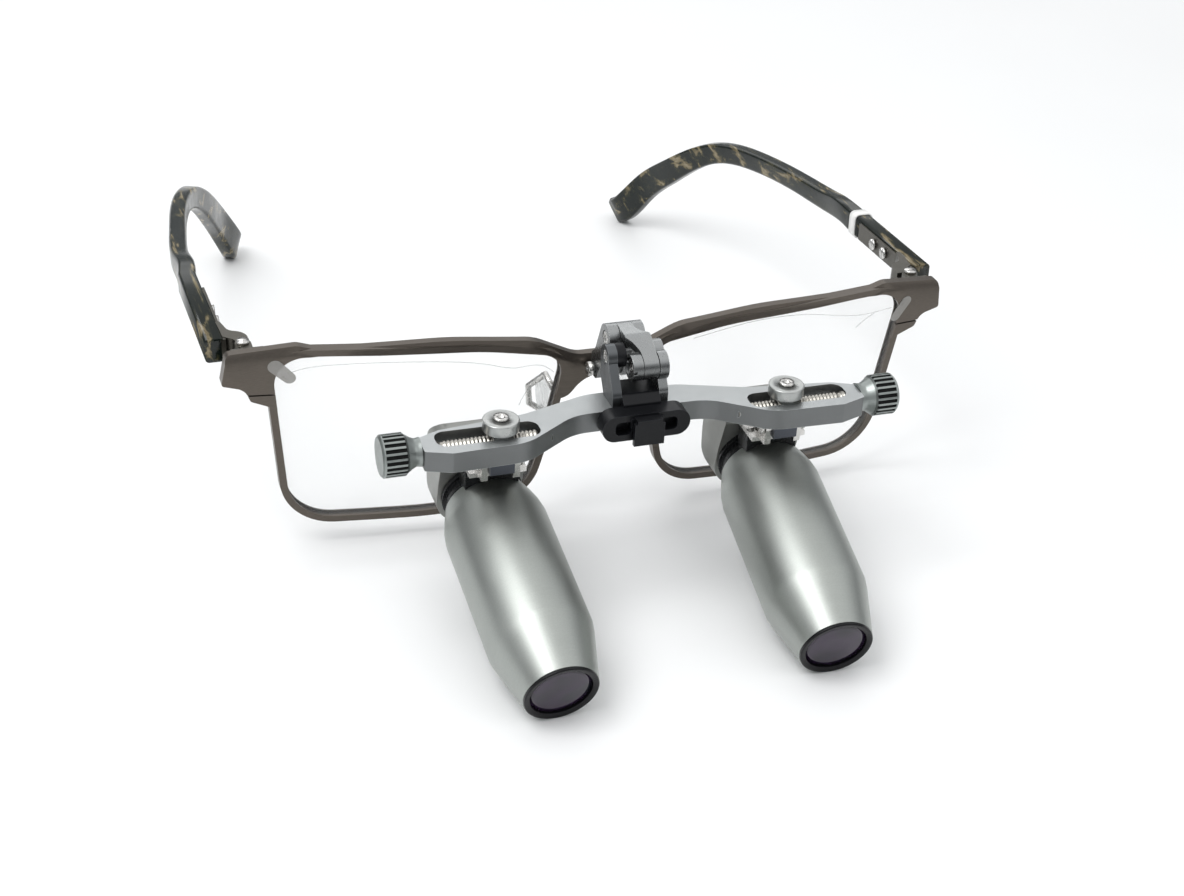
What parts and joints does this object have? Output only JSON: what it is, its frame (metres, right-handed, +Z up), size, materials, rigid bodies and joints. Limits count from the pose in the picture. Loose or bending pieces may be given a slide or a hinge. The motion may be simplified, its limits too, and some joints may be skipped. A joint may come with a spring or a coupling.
{
  "type": "dental loupes",
  "caption": "Spectacle frame with folding temples and a flip-up pair of magnifier barrels on a slotted crossbar with thumb knobs.",
  "frame": {"origin": "centre of the bounding box at its bottom, on the table that the objective rims and the temple tips rest on", "axes": "+X is the wearer's left, +Y runs from the front back along the temples, +Z is up"},
  "size_m": [0.145, 0.1942, 0.0481],
  "materials": {
    "frame_metal": "satin",
    "lens_clear": "polished",
    "temple_acetate": "polished",
    "temple_metal": "satin",
    "band_white": "satin",
    "steel": "satin",
    "pad_silicone": "satin",
    "linkage_metal": "satin",
    "bar_metal": "satin",
    "black_anodised": "satin",
    "barrel_metal": "satin",
    "ring_black": "gloss",
    "optic_coated": "polished",
    "housing_metal": "satin",
    "block_dark": "satin"
  },
  "bodies": {
    "front": {"front_frame": "frame_metal", "lens_left": "lens_clear", "lens_right": "lens_clear", "hinge_plate_left": "temple_metal", "hinge_plate_right": "temple_metal", "hinge_screws": "steel", "pad_arm_left": "steel", "pad_arm_right": "steel", "bridge_bracket": "linkage_metal", "bracket_screw": "steel", "rear_pivot_pin": "steel"},
    "pad_left": {"nose_pad_left": "pad_silicone"},
    "pad_right": {"nose_pad_right": "pad_silicone"},
    "temple_left": {"temple_core_left": "temple_metal", "temple_sleeve_left": "temple_acetate", "temple_rivets_left": "steel", "temple_band": "band_white"},
    "temple_right": {"temple_core_right": "temple_metal", "temple_sleeve_right": "temple_acetate", "temple_rivets_right": "steel"},
    "link": {"pivot_link": "linkage_metal"},
    "yoke": {"yoke_arm": "linkage_metal", "yoke_plate": "linkage_metal", "front_pivot_screw": "steel", "pivot_ring": "linkage_metal", "stop_boss": "black_anodised", "stop_screw": "steel", "bar_saddle": "black_anodised", "crossbar": "bar_metal", "light_mount": "black_anodised"},
    "knob_left": {"knob_left": "bar_metal", "lead_screw_left": "steel"},
    "carriage_left": {"slider_left": "bar_metal", "slider_disc_left": "bar_metal", "slider_screw_left": "steel", "hinge_block_left": "block_dark", "hinge_pin_left": "steel"},
    "scope_left": {"barrel_bracket_left": "steel", "neck_ring_left": "ring_black", "barrel_left": "barrel_metal", "objective_ring_left": "ring_black", "objective_lens_left": "optic_coated", "prism_housing_left": "housing_metal", "prism_left": "lens_clear", "eyepiece_lens_left": "optic_coated"},
    "knob_right": {"knob_right": "bar_metal", "lead_screw_right": "steel"},
    "carriage_right": {"slider_right": "bar_metal", "slider_disc_right": "bar_metal", "slider_screw_right": "steel", "hinge_block_right": "block_dark", "hinge_pin_right": "steel"},
    "scope_right": {"barrel_bracket_right": "steel", "neck_ring_right": "ring_black", "barrel_right": "barrel_metal", "objective_ring_right": "ring_black", "objective_lens_right": "optic_coated", "prism_housing_right": "housing_metal", "prism_right": "lens_clear", "eyepiece_lens_right": "optic_coated"}
  },
  "joints": [
    {"name": "temple_left_fold", "type": "hinge", "parent": "front", "child": "temple_left", "pos_m": [0.06544, -0.02995, 0.0403], "axis": [0, 0, 1], "range_deg": [0, 80]},
    {"name": "temple_right_fold", "type": "hinge", "parent": "front", "child": "temple_right", "pos_m": [-0.06576, -0.02995, 0.0403], "axis": [0, 0, -1], "range_deg": [0, 72]},
    {"name": "nose_pad_left_rock", "type": "hinge", "parent": "front", "child": "pad_left", "pos_m": [0.00954, -0.02975, 0.022], "axis": [-0.4067, 0.9135, 0], "range_deg": [-6, 6]},
    {"name": "nose_pad_right_rock", "type": "hinge", "parent": "front", "child": "pad_right", "pos_m": [-0.00986, -0.02975, 0.022], "axis": [0.4067, 0.9135, 0], "range_deg": [-6, 6]},
    {"name": "link_lift", "type": "hinge", "parent": "front", "child": "link", "pos_m": [-0.00016, -0.04655, 0.0454], "axis": [-1, 0, 0], "range_deg": [0, 55]},
    {"name": "yoke_tilt", "type": "hinge", "parent": "link", "child": "yoke", "pos_m": [-0.00016, -0.05465, 0.0435], "axis": [-1, 0, 0], "range_deg": [-2, 60]},
    {"name": "knob_left_turn", "type": "hinge", "parent": "yoke", "child": "knob_left", "pos_m": [0.02984, -0.06055, 0.03525], "axis": [1, 0, 0], "range_deg": [-3982, 1742]},
    {"name": "carriage_left_slide", "type": "slide", "parent": "yoke", "child": "carriage_left", "axis": [1, 0, 0], "range_m": [-0.00338, 0.00774]},
    {"name": "scope_left_tilt", "type": "hinge", "parent": "carriage_left", "child": "scope_left", "pos_m": [0.02644, -0.06035, 0.0312], "axis": [-1, 0, 0], "range_deg": [-5, 5]},
    {"name": "knob_right_turn", "type": "hinge", "parent": "yoke", "child": "knob_right", "pos_m": [-0.03016, -0.06055, 0.03525], "axis": [-1, 0, 0], "range_deg": [-3982, 1742]},
    {"name": "carriage_right_slide", "type": "slide", "parent": "yoke", "child": "carriage_right", "axis": [-1, 0, 0], "range_m": [-0.00338, 0.00774]},
    {"name": "scope_right_tilt", "type": "hinge", "parent": "carriage_right", "child": "scope_right", "pos_m": [-0.02676, -0.06035, 0.0312], "axis": [-1, 0, 0], "range_deg": [-5, 5]}
  ],
  "couplings": [
    {"joint": "knob_left_turn", "follows": "carriage_left_slide", "rad_per_m": -8976},
    {"joint": "knob_right_turn", "follows": "carriage_right_slide", "rad_per_m": -8976}
  ]
}
